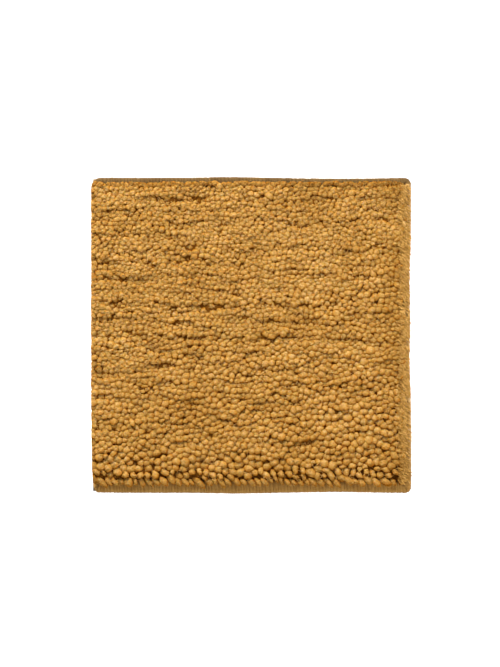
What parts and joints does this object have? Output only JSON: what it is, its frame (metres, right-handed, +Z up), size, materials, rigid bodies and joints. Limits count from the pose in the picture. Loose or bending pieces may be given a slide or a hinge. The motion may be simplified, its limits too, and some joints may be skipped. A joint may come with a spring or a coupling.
{
  "type": "carpet sample",
  "caption": "Square sample of thick mustard wool pile carpet, lying flat, with its edge bound all round in matching ribbed yarn.",
  "frame": {"origin": "on the floor, under the middle of the sample's bounding box", "axes": "+Z up through the pile, +X along the rows of tufts (to the right in the picture), +Y towards the back edge (up in the picture)"},
  "size_m": [0.2, 0.1976, 0.0114],
  "materials": {
    "mustard_wool": "matt wool yarn in rounded tufts, slightly fuzzy",
    "binding_yarn": "matt ribbed yarn in a darker olive-ochre",
    "backing_cloth": "plain woven cloth, undyed grey-brown"
  },
  "bodies": {
    "root": {"wool_pile": "mustard_wool", "edge_binding": "binding_yarn", "backing": "backing_cloth"}
  },
  "joints": []
}
